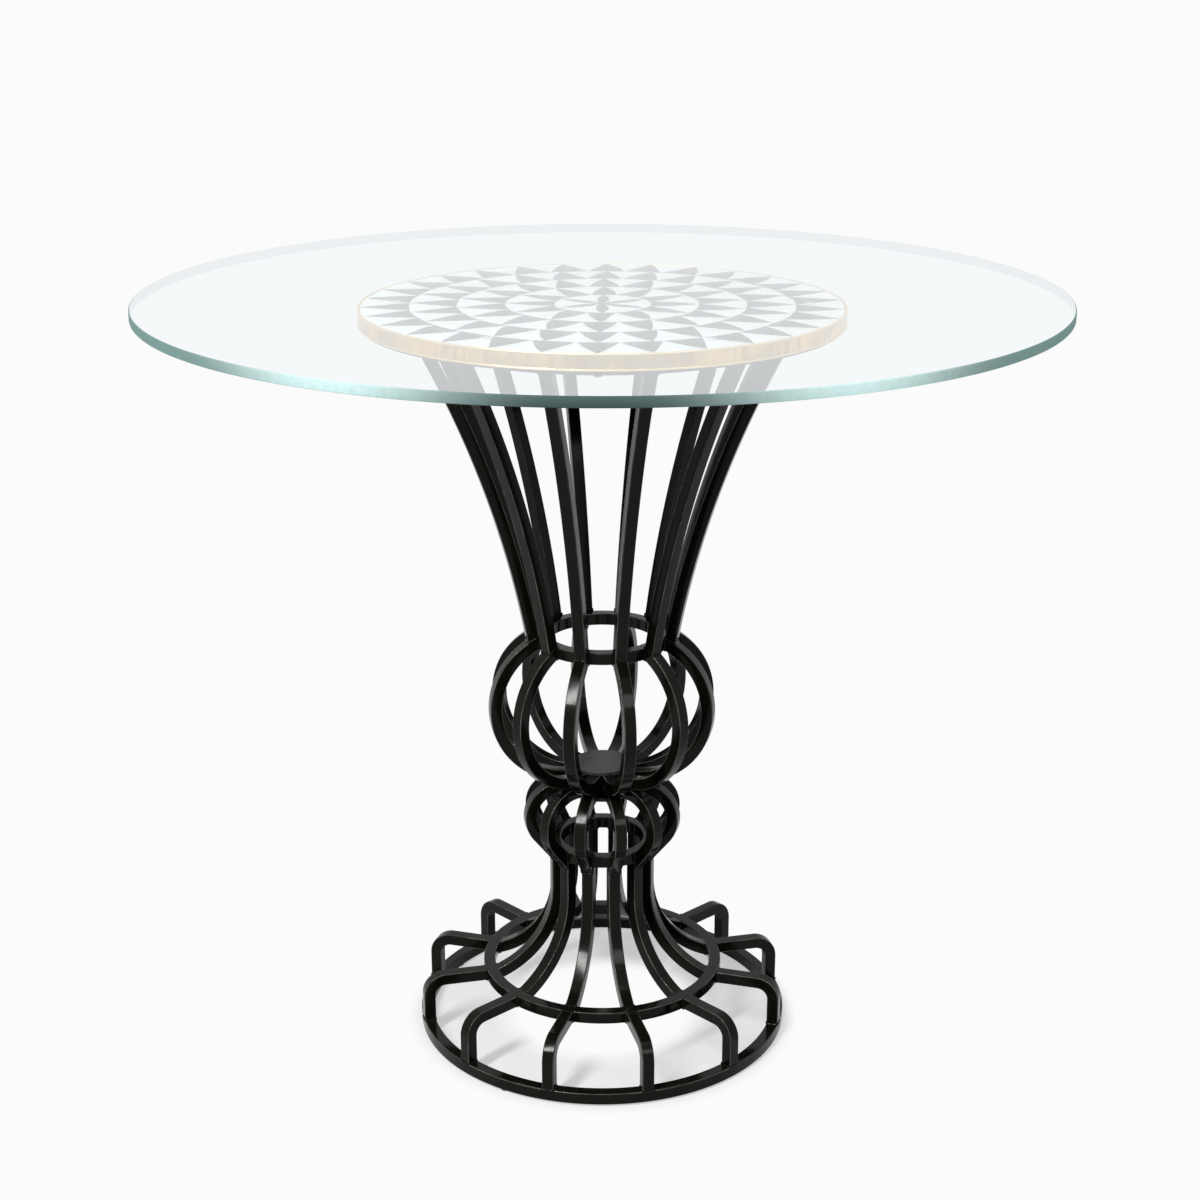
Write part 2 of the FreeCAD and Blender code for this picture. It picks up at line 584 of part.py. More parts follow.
def glass_top(doc, sheet):
    """Flat-polished round of glass with a small arris on both edges."""
    body = new_body(doc, "glass_top")
    top = GLASS_BOTTOM + " + Sizes.glass_thickness"
    face = "Sizes.glass_radius - Sizes.glass_arris"
    corners = (
        ("0", GLASS_BOTTOM), (face, GLASS_BOTTOM),
        ("Sizes.glass_radius", GLASS_BOTTOM + " + Sizes.glass_arris"),
        ("Sizes.glass_radius", top + " - Sizes.glass_arris"), (face, top), ("0", top),
    )
    revolve(body, polygon_outline(body, sheet, "glass_section", corners))
    return body


def hub(doc, sheet, label, bottom):
    """Many-sided round plate welded on the crowded inner ends of a set of ribs."""
    body = new_body(doc, label)
    prism(body, sheet, label + "_round", "0", HUB_RADIUS, int(sheet.hub_sides), bottom, "Sizes.hub_thickness")
    return body


def build(doc, sheet):
    pieces = [foot_ring(doc, sheet), glides(doc, sheet)]
    pieces.append(bar_ring(doc, sheet, "middle_ring", "Sizes.middle_ring_radius",
                           "Sizes.middle_ring_height - Sizes.bar_size"))
    pieces.append(rib_set(doc, sheet, "flare_ribs", flare_outline))
    pieces.append(bar_ring(doc, sheet, "collar_ring", "Sizes.column_radius", COLLAR_BOTTOM))
    pieces.append(rib_set(doc, sheet, "knob_ribs", knob_outline))
    pieces.append(hub(doc, sheet, "knob_plate", KNOB_PLATE_TOP + " - Sizes.hub_thickness"))
    pieces.append(hub(doc, sheet, "hub_plate", HUB_BOTTOM))
    pieces.append(bar_ring(doc, sheet, "neck_ring", "Sizes.neck_ring_radius", NECK_RING_BOTTOM))
    for name, outline in (("leg", leg_outline), ("globe_rib", globe_outline), ("vase_rib", vase_outline)):
        for number in range(1, int(sheet.rib_count) + 1):
            pieces.append(single_rib(doc, sheet, "%s_%02d" % (name, number), outline, number))
    pieces += [top_ring(doc, sheet), painted_disc(doc, sheet), disc_screws(doc, sheet)]
    pieces += [edge_band(doc, sheet), bumpers(doc, sheet), glass_top(doc, sheet)]
    return pieces


def check(doc, pieces):
    for item in doc.Objects:
        if "Invalid" in item.State or "Error" in item.State:
            raise RuntimeError("%s is not sound: %s" % (item.Label, item.State))
    for piece in pieces:
        if piece.Shape.isNull() or not piece.Shape.isValid() or not piece.Shape.Solids:
            raise RuntimeError("%s has no sound shape" % piece.Label)


doc = FreeCAD.newDocument("AccentTable")
sheet = size_sheet(doc)
pieces = build(doc, sheet)
doc.recompute()
check(doc, pieces)
os.makedirs("parts", exist_ok=True)
for piece in pieces:
    piece.Shape.exportStep("parts/%s.step" % piece.Label)
print("%d pieces written" % len(pieces))
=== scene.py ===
import bpy
import numpy as np
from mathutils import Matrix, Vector


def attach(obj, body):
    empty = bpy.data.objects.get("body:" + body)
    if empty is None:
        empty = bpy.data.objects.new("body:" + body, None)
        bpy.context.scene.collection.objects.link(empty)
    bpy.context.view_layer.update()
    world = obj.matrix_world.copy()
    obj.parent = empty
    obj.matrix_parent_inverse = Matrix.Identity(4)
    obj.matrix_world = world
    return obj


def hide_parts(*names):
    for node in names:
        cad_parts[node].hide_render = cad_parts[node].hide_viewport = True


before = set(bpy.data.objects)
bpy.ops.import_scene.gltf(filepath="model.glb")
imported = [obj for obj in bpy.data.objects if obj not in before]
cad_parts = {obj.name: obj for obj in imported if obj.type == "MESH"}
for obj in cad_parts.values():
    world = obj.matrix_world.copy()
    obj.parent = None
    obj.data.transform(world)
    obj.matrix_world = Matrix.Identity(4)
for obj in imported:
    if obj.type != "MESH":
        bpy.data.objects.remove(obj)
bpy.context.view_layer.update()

# Foot ring: a hoop rolled from 12 mm square steel bar, long edges softly rounded by the mill.
# It carries all twelve legs and is powder coated satin black with the rest of the pedestal.
bar = 0.012
bar_edge_rounding = 0.0011
bar_corner_steps = 4
glide_height = 0.002
foot_ring_radius = 0.1907
ring_steps = 288


def square_section():
    """Rounded square. Each corner is a quarter circle set in from the corner by its radius.
    Returns how deep each point lies behind the bar's outer face, and how far to the side."""
    quarter = np.linspace(0, np.pi / 2, bar_corner_steps + 1)
    corner = np.repeat(np.arange(4) * np.pi / 2, bar_corner_steps + 1)
    turn = corner + np.tile(quarter, 4)
    flat = (bar / 2 - bar_edge_rounding) * np.sqrt(2)
    outward = flat * np.cos(corner + np.pi / 4) + bar_edge_rounding * np.cos(turn)
    sideways = flat * np.sin(corner + np.pi / 4) + bar_edge_rounding * np.sin(turn)
    return bar / 2 - outward, sideways


def section_corners():
    """For each point of the rounded square: one at the middle of a corner, nought where the flats
    start, and the sine of the way between."""
    return np.tile(np.sin(np.linspace(0, np.pi, bar_corner_steps + 1)), 4)


def skin(name, shells, closed=False, corners_at=None, flats=True):
    """Each shell is a grid of points: rows run along the piece, columns go round it and close.
    Rows close as well on a hoop; otherwise the first and last row are capped. On a piece with
    flats the large faces are shaded flat up to their rounded edges."""
    points, quads, caps, first = [], [], [], 0
    for grid in shells:
        rows, columns = grid.shape[:2]
        index = first + np.arange(rows * columns).reshape(rows, columns)
        right = np.roll(index, -1, axis=1)
        here, there = slice(0, -1), slice(1, None)
        if closed:
            here, there = slice(None), np.roll(np.arange(rows), -1)
        walls = np.stack([index[here], right[here], right[there], index[there]], axis=-1).reshape(-1, 4)
        corners = grid.reshape(-1, 3)[walls - first]
        ends = [] if closed else [index[0, ::-1], index[-1]]
        # The sum of each face's area against its place is negative where the faces point inwards.
        flux = np.einsum("ij,ij->", corners.mean(axis=1) - corners.mean(axis=(0, 1)),
                         np.cross(corners[:, 2] - corners[:, 0], corners[:, 3] - corners[:, 1]))
        if flux < 0:
            walls, ends = walls[:, ::-1], [end[::-1] for end in ends]
        points.append(grid.reshape(-1, 3))
        quads.append(walls)
        caps += ends
        first += rows * columns
    mesh = bpy.data.meshes.new(name)
    mesh.from_pydata(np.concatenate(points).tolist(), [],
                     np.concatenate(quads).tolist() + [cap.tolist() for cap in caps])
    mesh.shade_smooth()
    if corners_at is not None:
        corner = mesh.attributes.new("corner", "FLOAT", "POINT")
        corner.data.foreach_set("value", np.tile(corners_at, len(mesh.vertices) // len(corners_at)))
    piece = bpy.data.objects.new(name, mesh)
    bpy.context.scene.collection.objects.link(piece)
    if flats:
        weighted = piece.modifiers.new("flat faces stay flat", "WEIGHTED_NORMAL")
        weighted.weight = 100
    return piece


def hoop(name, radius, bottom, node):
    """The square section carried once round the upright axis."""
    depth, sideways = square_section()
    turn = np.linspace(0, 2 * np.pi, ring_steps, endpoint=False)[:, None]
    reach = radius - depth
    height = np.broadcast_to(bottom + bar / 2 + sideways, (ring_steps, len(depth)))
    piece = skin(name, [np.stack([reach * np.cos(turn), reach * np.sin(turn), height], axis=-1)],
                 closed=True, corners_at=section_corners())
    return dress(piece, black_iron, "black_iron", "base", node)


def dress(piece, material, slot, body, *nodes):
    """Gives a piece its finish and its body, and the nodes that it stands for. The slot is not used."""
    piece.data.materials.append(material)
    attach(piece, body)
    if nodes:
        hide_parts(*nodes)
    return piece


class Finish:
    """A material with one surface shader, and short ways to add and join nodes."""

    def __init__(self, name):
        self.material = bpy.data.materials.new(name)
        self.material.use_nodes = True
        self.tree = self.material.node_tree
        self.surface = self.tree.nodes["Principled BSDF"]
        self.place = self.add("ShaderNodeTexCoord").outputs["Object"]

    def add(self, kind, sockets=(), **settings):
        """A new node, with its settings made and its sockets fed."""
        node = self.tree.nodes.new(kind)
        for name, value in settings.items():
            setattr(node, name, value)
        for name, value in dict(sockets).items():
            self.feed(value, node.inputs[name])
        return node

    def feed(self, value, socket):
        """A node's output is linked to the socket; a plain value is set on it."""
        if isinstance(value, bpy.types.NodeSocket):
            self.tree.links.new(value, socket)
        else:
            socket.default_value = value

    def noise(self, scale, detail=3, roughness=0.5, place=None):
        """Soft blotches from nought to one. The scale is about how many fit in a metre."""
        return self.add("ShaderNodeTexNoise", {"Vector": place or self.place, "Scale": scale,
                        "Detail": detail, "Roughness": roughness}).outputs["Fac"]

    def stretched(self, *scale):
        """The place with each axis scaled, which draws a pattern out along the axes with a small scale."""
        return self.add("ShaderNodeMapping", {"Vector": self.place, "Scale": scale}).outputs[0]

    def axes(self, place=None):
        """The x, y and z of a place."""
        return self.add("ShaderNodeSeparateXYZ", {0: place or self.place}).outputs

    def show(self, shader):
        """The shader becomes what the material shows."""
        self.tree.links.new(shader, self.tree.nodes["Material Output"].inputs["Surface"])

    def math(self, operation, *values):
        """One operation on plain values or on nodes' outputs."""
        node = self.add("ShaderNodeMath", operation=operation)
        for value, socket in zip(values, node.inputs):
            self.feed(value, socket)
        return node.outputs[0]

    def spread(self, value, low, high, start=0.0, end=1.0):
        """The value carried smoothly from one range to another."""
        return self.add("ShaderNodeMapRange", {"Value": value, "From Min": low, "From Max": high,
                        "To Min": start, "To Max": end}, interpolation_type="SMOOTHSTEP").outputs["Result"]

    def mix(self, share, first, second):
        """The first colour turned into the second by the share."""
        node = self.add("ShaderNodeMix", data_type="RGBA")
        self.feed(share, node.inputs["Factor"])
        for colour, socket in ((first, node.inputs[6]), (second, node.inputs[7])):
            self.feed(colour if isinstance(colour, bpy.types.NodeSocket) else (*colour, 1), socket)
        return node.outputs[2]

    def relief(self, *layers):
        """Bumps one on the other, each a height and how many metres deep it is."""
        normal = None
        for height, depth in layers:
            sockets = {"Height": height, "Distance": depth, "Strength": 1.0}
            if normal:
                sockets["Normal"] = normal
            normal = self.add("ShaderNodeBump", sockets).outputs["Normal"]
        self.feed(normal, self.surface.inputs["Normal"])


def powder_coat():
    """Satin black: faint cloudiness in colour and sheen, fine orange peel, a few dust nibs, and
    corners here and there smoother and paler: rubbed wear, with a painted highlight along the edges."""
    coat = Finish("black_iron")
    cloud = coat.noise(22, 4, 0.6)
    peel = coat.noise(700, 2)
    nibs = coat.spread(coat.noise(1500, 1), 0.66, 0.8)
    corner = coat.add("ShaderNodeAttribute", attribute_name="corner").outputs["Fac"]
    corner = coat.math("MULTIPLY", corner, corner)
    # Paler corners: partly rubbed wear, partly a painted highlight along the rounded edges of the bars.
    rubbed = coat.math("MULTIPLY", corner, coat.spread(coat.noise(45, 3, 0.6), 0.3, 0.7, 0.3, 1.0))
    face = coat.mix(coat.spread(cloud, 0.35, 0.7), (0.0034, 0.0028, 0.0017), (0.0061, 0.0052, 0.0034))
    coat.feed(coat.mix(rubbed, face, (0.125, 0.122, 0.114)), coat.surface.inputs["Base Color"])
    coat.feed(coat.math("MULTIPLY_ADD", rubbed, -0.03, coat.spread(cloud, 0.3, 0.75, 0.10, 0.15)),
              coat.surface.inputs["Roughness"])
    coat.surface.inputs["Specular IOR Level"].default_value = 0.10
    coat.surface.inputs["Specular Tint"].default_value = (1.0, 0.99, 0.97, 1)
    coat.relief((peel, 0.000015), (nibs, 0.00004))
    return coat.material


black_iron = powder_coat()
hoop("foot_hoop", foot_ring_radius, glide_height, "foot_ring")

# Glides: black moulded buttons pressed on under the foot ring to save the floor.
# They stand between the legs, each with a rounded sole.
glide_radius = 0.0048
glide_sole_rounding = 0.0009
glide_top_chamfer_height, glide_top_chamfer_width = 0.0001, 0.0003
glide_angles = np.radians([60, 150, 240, 330])
glide_steps = 40


def turned(profile, steps, x=0.0, y=0.0):
    """A profile of (distance from the axis, height) points, carried round an upright axis at x, y."""
    reach, height = np.array(profile).T[..., None]
    turn = np.linspace(0, 2 * np.pi, steps, endpoint=False)
    return np.stack([x + reach * np.cos(turn), y + reach * np.sin(turn), height + 0 * turn], axis=-1)


def rounded_corner(x, z, radius, start, end, steps=5):
    """Points of a circular arc whose centre is x, z, between two angles in degrees."""
    turn = np.radians(np.linspace(start, end, steps))
    return list(zip(x + radius * np.cos(turn), z + radius * np.sin(turn)))


def nylon():
    """Matt moulded plastic, slightly scuffed."""
    plastic = Finish("glide_plastic")
    scuff = plastic.noise(300, 4, 0.7)
    plastic.feed(plastic.mix(scuff, (0.018, 0.018, 0.018), (0.035, 0.034, 0.033)),
                 plastic.surface.inputs["Base Color"])
    plastic.feed(plastic.spread(scuff, 0.3, 0.7, 0.45, 0.65), plastic.surface.inputs["Roughness"])
    plastic.relief((scuff, 0.00003))
    return plastic.material


glide_profile = rounded_corner(glide_radius - glide_sole_rounding, glide_sole_rounding,
                               glide_sole_rounding, -90, 0)
glide_profile += [(glide_radius, glide_height - glide_top_chamfer_height),
                  (glide_radius - glide_top_chamfer_width, glide_height)]
glide_circle = foot_ring_radius - bar / 2
glides = skin("glide_buttons", [turned(glide_profile, glide_steps, glide_circle * np.cos(angle),
              glide_circle * np.sin(angle)) for angle in glide_angles])
dress(glides, nylon(), "glide_plastic", "base", "glides")

# Legs: twelve bars, level out from the middle ring, one tight cold bend, then down to the foot ring.
# They are cut square, butted and welded; the tops are ground flush with the middle ring.
rib_angles = np.radians(15 + 30 * np.arange(12))
weld_gap = 0.0003
middle_ring_radius = 0.1243
middle_ring_top = 0.065
leg_bend_inside = 0.011
foot_ring_top = glide_height + bar
end_step_share = 0.06


def arc_run(centre, radius, start, end, steps):
    """Points round a centre; radius and both angles may differ across the section."""
    share = np.linspace(0, 1, steps + 1)[:, None]
    turn = start + (end - start) * share
    return centre[0] + radius * np.cos(turn), centre[1] + radius * np.sin(turn)


def straight_run(start, end, steps=1):
    """Points along a line; both ends may differ across the section."""
    share = np.linspace(0, 1, steps + 1)[:, None]
    return tuple(first + (last - first) * share for first, last in zip(start, end))


def joined(*runs):
    """Runs end to end. A short extra step at each end keeps the cut end crisp."""
    reach, height = (np.concatenate([runs[0][side]] + [run[side][1:] for run in runs[1:]])
                     for side in (0, 1))
    course = []
    for line in (reach, height):
        near_start = line[:1] + (line[1:2] - line[:1]) * end_step_share
        near_end = line[-1:] + (line[-2:-1] - line[-1:]) * end_step_share
        course.append(np.concatenate([line[:1], near_start, line[1:-1], near_end, line[-1:]]))
    return course


def bent_bar(course, angle):
    """The rounded square carried along a course in the upright plane that stands at the angle."""
    reach, height = course
    _, sideways = square_section()
    return np.stack([reach * np.cos(angle) - sideways * np.sin(angle),
                     reach * np.sin(angle) + sideways * np.cos(angle), height], axis=-1)


def leg_course():
    """Level run, quarter bend, upright run. Depth is measured in from the top and outer face."""
    depth, _ = square_section()
    bend = leg_bend_inside + bar
    centre = (foot_ring_radius - bend, middle_ring_top - bend)
    level = straight_run((np.full_like(depth, middle_ring_radius + weld_gap), middle_ring_top - depth),
                         (np.full_like(depth, centre[0]), middle_ring_top - depth), steps=4)
    corner = arc_run(centre, bend - depth, np.pi / 2, 0, steps=14)
    upright = straight_run((foot_ring_radius - depth, np.full_like(depth, centre[1])),
                           (foot_ring_radius - depth, np.full_like(depth, foot_ring_top)), steps=4)
    return joined(level, corner, upright)


def bar_set(name, course, node):
    """One piece for each bar of a set, standing for the node with the same number."""
    for number, angle in enumerate(rib_angles, start=1):
        piece = skin("%s_%02d" % (name, number), [bent_bar(course, angle)], corners_at=section_corners())
        dress(piece, black_iron, "black_iron", "base", "%s_%02d" % (node, number))


bar_set("leg_bar", leg_course(), "leg")

# Middle ring: a smaller hoop of the same square bar. The legs are butted and welded against its
# outside, and the flared ribs against its inside.
hoop("middle_hoop", middle_ring_radius, middle_ring_top - bar, "middle_ring")

# Flared ribs: twelve bars, upright under the collar and swept out to the inside of the middle ring.
# Their lower ends are ground flush with the ring's top.
column_radius = 0.0541
flare_bend = 0.0925
column_straight = 0.0398
flare_end = middle_ring_radius - bar - weld_gap
flare_start = middle_ring_top + np.sqrt(flare_bend ** 2 - (column_radius + flare_bend - flare_end) ** 2)
collar_bottom = flare_start + column_straight


def flare_course():
    """Upright run, then an arc about a point outside the column, ending on an upright cut."""
    depth, _ = square_section()
    centre = (column_radius + flare_bend, flare_start)
    radius = flare_bend + depth
    upright = straight_run((column_radius - depth, np.full_like(depth, collar_bottom)),
                           (column_radius - depth, np.full_like(depth, flare_start)), steps=8)
    last_turn = 2 * np.pi - np.arccos((flare_end - centre[0]) / radius)
    sweep = arc_run(centre, radius, np.pi, last_turn, steps=40)
    return joined(upright, sweep)


flared = skin("flared_bars", [bent_bar(flare_course(), angle) for angle in rib_angles],
              corners_at=section_corners())
dress(flared, black_iron, "black_iron", "base", "flare_ribs")

# Collar ring: a small hoop of the same bar that lies on the flared ribs' upper ends and is welded
# to them. The knob ribs' lower ends come against its outside.
hoop("collar_hoop", column_radius, collar_bottom, "collar_ring")

# Knob ribs: twelve short bars bent into a flat-topped belly. Above they run in level under the
# globe's ribs; below they lean in to an upright cut against the collar ring and the column.
knob_bend = 0.0383
knob_offset = 0.0431
knob_lean = np.radians(39)
knob_foot = column_radius + weld_gap
knob_inside = knob_bend - bar
knob_centre = (knob_offset, collar_bottom + bar + knob_inside * np.sin(knob_lean)
               + (knob_offset + knob_inside * np.cos(knob_lean) - knob_foot) / np.tan(knob_lean))
knob_top = knob_centre[1] + knob_bend
rib_end_clearance = 0.0008
rib_end_radius = bar / 2 / np.tan(np.pi / len(rib_angles)) + rib_end_clearance


def knob_course():
    """Level run outwards, an arc to the lean, then straight down to the upright cut."""
    depth, _ = square_section()
    radius = knob_bend - depth
    turn_reach = knob_offset + radius * np.cos(knob_lean)
    turn_height = knob_centre[1] - radius * np.sin(knob_lean)
    level = straight_run((np.full_like(depth, rib_end_radius), knob_centre[1] + radius),
                         (np.full_like(depth, knob_offset), knob_centre[1] + radius), steps=4)
    belly = arc_run(knob_centre, radius, np.pi / 2, -knob_lean, steps=36)
    cut_height = turn_height - (turn_reach - knob_foot) / np.tan(knob_lean)
    slant = straight_run((turn_reach, turn_height), (np.full_like(depth, knob_foot), cut_height), steps=4)
    return joined(level, belly, slant)


knob = skin("knob_bars", [bent_bar(knob_course(), angle) for angle in rib_angles],
            corners_at=section_corners())
dress(knob, black_iron, "black_iron", "base", "knob_ribs")

# Globe ribs: twelve bars bent into a round belly, cut upright at the neck ring and run in flat
# below, where their ends crowd together under the hub plate.
neck_ring_radius = 0.0655
neck_seat = neck_ring_radius + weld_gap
globe_bend = 0.0821
globe_offset = 0.0337
globe_centre = (globe_offset, knob_top + globe_bend)


def globe_course():
    """Arc from the neck cut to the lowest point, then a level run inwards."""
    depth, _ = square_section()
    radius = globe_bend - depth
    first_turn = np.arccos((neck_seat - globe_offset) / radius)
    belly = arc_run(globe_centre, radius, first_turn, -np.pi / 2, steps=52)
    low = globe_centre[1] - radius
    level = straight_run((np.full_like(depth, globe_offset), low),
                         (np.full_like(depth, rib_end_radius), low), steps=3)
    return joined(belly, level)


bar_set("globe_bar", globe_course(), "globe_rib")

# Hub plates: two small rounds of 4 mm plate, one welded on top of the globe ribs' inner ends and
# one under the knob ribs'. Their faces keep the grainy look of plate under a thin coat.
hub_overlap = 0.007
hub_radius = rib_end_radius + hub_overlap
hub_thickness = 0.004
hub_edge_rounding = 0.0006
hub_steps = 96


def plate_coat():
    """The same satin black over coarser plate, a little greyer with settled dust."""
    coat = Finish("hub_coat")
    grain = coat.noise(420, 5, 0.7)
    specks = coat.spread(coat.noise(900, 2), 0.6, 0.75)
    face = coat.mix(grain, (0.009, 0.009, 0.009), (0.024, 0.024, 0.024))
    coat.feed(coat.mix(specks, face, (0.050, 0.050, 0.049)), coat.surface.inputs["Base Color"])
    coat.feed(coat.spread(grain, 0.3, 0.7, 0.42, 0.56), coat.surface.inputs["Roughness"])
    coat.surface.inputs["Specular IOR Level"].default_value = 0.35
    coat.relief((grain, 0.00012), (specks, 0.00006))
    return coat.material


def hub(name, bottom, node):
    """A round with both rims rounded over by a quarter circle."""
    inset = hub_radius - hub_edge_rounding
    profile = rounded_corner(inset, bottom + hub_edge_rounding, hub_edge_rounding, -90, 0)
    profile += rounded_corner(inset, bottom + hub_thickness - hub_edge_rounding, hub_edge_rounding, 0, 90)
    return dress(skin(name, [turned(profile, hub_steps)]), grainy_coat, "black_iron", "base", node)


grainy_coat = plate_coat()
hub("globe_hub", knob_top + bar, "hub_plate")
hub("knob_hub", knob_top - bar - hub_thickness, "knob_plate")

# Tacks: a blob of weld where each rib passes under or over the rim of its plate. They hold the
# plates and are left as they set, under the same coat.
tack_radius = 0.0019
tack_height = 0.0013
tack_unevenness = 0.22
tack_wander = 0.0004
tack_closing_angle = 84
tack_round_steps, tack_rise_steps = 16, 7
tack_size_shift, tack_place_shift = 2.3, 1.9


def tack_row(name, face, way):
    """Domes of an elliptical profile round the plate. Their size and their reach vary from rib to
    rib with a sine and a cosine of the rib's number."""
    rise = np.radians(np.linspace(0, tack_closing_angle, tack_rise_steps))
    domes = []
    for number, angle in enumerate(rib_angles):
        size = 1 + tack_unevenness * np.sin(tack_size_shift * number)
        reach = hub_radius + tack_wander * np.cos(tack_place_shift * number)
        profile = np.stack([tack_radius * size * np.cos(rise),
                            face + way * tack_height * size * np.sin(rise)], axis=-1)
        domes.append(turned(profile, tack_round_steps, reach * np.cos(angle), reach * np.sin(angle)))
    return dress(skin(name, domes), black_iron, "black_iron", "base")


tack_row("tacks_globe_hub", knob_top + bar, 1)
tack_row("tacks_knob_hub", knob_top - bar, -1)

# Neck ring: a hoop of the same bar inside the feet of the vase ribs. The globe ribs' upper ends
# are cut upright and welded against its outside.
neck_ring_bottom = globe_centre[1] + np.sqrt((globe_bend - bar) ** 2 - (neck_seat - globe_offset) ** 2)
hoop("neck_hoop", neck_ring_radius, neck_ring_bottom, "neck_ring")

# Vase ribs: twelve long bars in a slow outward bend. The foot is coped to the globe rib below it,
# which leaves a sharp kink, and the top is cut level under the top ring.
vase_bend = 1.031
globe_seat = globe_bend + weld_gap
top_ring_radius = 0.1817
top_ring_top = 0.737
top_ring_bottom = top_ring_top - bar


def vase_centre():
    """The point outside the table that both faces of a rib are bent about: it lies one bend from
    the rib's outer top corner and one bend and a bar from its inner foot."""
    foot_height = globe_centre[1] + np.sqrt(globe_seat ** 2 - (neck_seat - globe_offset) ** 2)
    foot = np.array([neck_seat, foot_height])
    top = np.array([top_ring_radius, top_ring_bottom])
    apart = top - foot
    distance = np.hypot(*apart)
    along = (distance ** 2 + (vase_bend + bar) ** 2 - vase_bend ** 2) / (2 * distance)
    across = np.sqrt((vase_bend + bar) ** 2 - along ** 2)
    forward = apart / distance
    return foot + forward * along + np.array([forward[1], -forward[0]]) * across


def angle_to_globe(centre, radius):
    """The angle at which a rib's own circle meets the one just clear of the globe ribs' outer faces."""
    apart = np.subtract(globe_centre, centre)
    distance = np.hypot(*apart)
    return np.arctan2(apart[1], apart[0]) - np.arccos((distance ** 2 + radius ** 2 - globe_seat ** 2)
                                                      / (2 * distance * radius))


def vase_course():
    """One long arc from the level cut at the top to the cope on the globe."""
    depth, _ = square_section()
    centre, radius = vase_centre(), vase_bend + depth
    first_turn = np.pi - np.arcsin((top_ring_bottom - centre[1]) / radius)
    return joined(arc_run(centre, radius, first_turn, angle_to_globe(centre, radius), steps=36))


bar_set("vase_bar", vase_course(), "vase_rib")

# Top ring: a hoop of the same bar, welded on the vase ribs' upper ends. It ties them together and
# carries the disc, which is screwed to it from below.
hoop("top_hoop", top_ring_radius, top_ring_bottom, "top_ring")

# Welds: a small bead round each bar where it meets a ring or another bar, dressed and coated over.
# On the middle ring the beads are ground off level with the top. Where the knob's and the globe's
# level runs lie on each other, a bead runs in the seam along both sides of each rib.
bead_radius = 0.0011
bead_steps, bead_round_steps = 44, 8
bead_swell, bead_swell_waves, bead_swell_shift = 0.16, 3, 1.7
bead_ripple, bead_ripple_waves, bead_ripple_shift = 0.1, 7, 2.9
seam_start, seam_end = 0.031, 0.048
seam_bead_radius = 0.0015
seam_bead_steps = 40
seam_unevenness, seam_wave_radians, seam_shift_radians = 0.12, 23, 2.1
seam_end_share = 0.002
bead_stand = 0.00004
ground_level = middle_ring_top + bead_stand


def bead(course, end, angle, number, level=None):
    """A thin tube that follows the bar's outline where it is cut. Its radius swells and thins with
    two slow waves round the bar, shifted from joint to joint."""
    bar_skin = bent_bar(course, angle)
    seam, inward = bar_skin[end], bar_skin[2 if end == 0 else -3]
    lengths = np.append(0, np.cumsum(np.linalg.norm(np.roll(seam, -1, axis=0) - seam, axis=1)))
    share = np.linspace(0, lengths[-1], bead_steps, endpoint=False)
    loop, back = (np.stack([np.interp(share, lengths, np.append(line[:, axis], line[0, axis]))
                            for axis in range(3)], axis=-1) for line in (seam, inward))
    run = loop - back
    run /= np.linalg.norm(run, axis=1, keepdims=True)
    outward = loop - loop.mean(axis=0)
    outward -= run * np.einsum("ij,ij->i", outward, run)[:, None]
    outward /= np.linalg.norm(outward, axis=1, keepdims=True)
    wave = 2 * np.pi * share / lengths[-1]
    swell = bead_swell * np.sin(bead_swell_waves * wave + bead_swell_shift * number)
    ripple = bead_ripple * np.sin(bead_ripple_waves * wave + bead_ripple_shift * number)
    size = bead_radius * (1 + swell + ripple)
    turn = np.linspace(0, 2 * np.pi, bead_round_steps, endpoint=False)
    tube = (loop[:, None] + size[:, None, None] * (outward[:, None] * np.cos(turn)[:, None]
            + run[:, None] * np.sin(turn)[:, None]))
    if level is not None:
        tube[..., 2] = np.minimum(tube[..., 2], level)
    return tube


def bead_row(name, course, end, level=None):
    """A bead at the same end of every bar of a set, cut off at a level where one is given."""
    beads = [bead(course, end, angle, number, level) for number, angle in enumerate(rib_angles)]
    return dress(skin(name, beads, closed=True, flats=False), black_iron, "black_iron", "base")


def side_beads(name, start, end, height):
    """Two thin tubes along each rib, one in the seam on either side where two sets of ribs touch.
    Their radius swells and thins along the way and dies out at both ends."""
    share = np.linspace(0, 1, seam_bead_steps)[:, None]
    swell = np.sqrt(np.sin(np.pi * np.clip(share, seam_end_share, 1 - seam_end_share)))
    turn = np.linspace(0, 2 * np.pi, bead_round_steps, endpoint=False)
    beads = []
    for number, angle in enumerate(rib_angles):
        for side in (-1, 1):
            phase = seam_wave_radians * share + seam_shift_radians * number + side
            waves = 1 + seam_unevenness * np.sin(phase)
            size = seam_bead_radius * swell * waves
            reach = start + (end - start) * share + 0 * turn
            aside = side * bar / 2 + size * np.cos(turn)
            beads.append(np.stack([reach * np.cos(angle) - aside * np.sin(angle),
                                   reach * np.sin(angle) + aside * np.cos(angle),
                                   height + size * np.sin(turn)], axis=-1))
    return dress(skin(name, beads, flats=False), black_iron, "black_iron", "base")


side_beads("welds_knob_heads", seam_start, seam_end, knob_top)
bead_row("welds_leg_feet", leg_course(), -1)
bead_row("welds_leg_heads", leg_course(), 0, ground_level)
bead_row("welds_flare_feet", flare_course(), -1, ground_level)
bead_row("welds_flare_heads", flare_course(), 0)
bead_row("welds_knob_feet", knob_course(), -1)
bead_row("welds_globe_necks", globe_course(), 0)
bead_row("welds_vase_feet", vase_course(), -1)
bead_row("welds_vase_heads", vase_course(), 0)

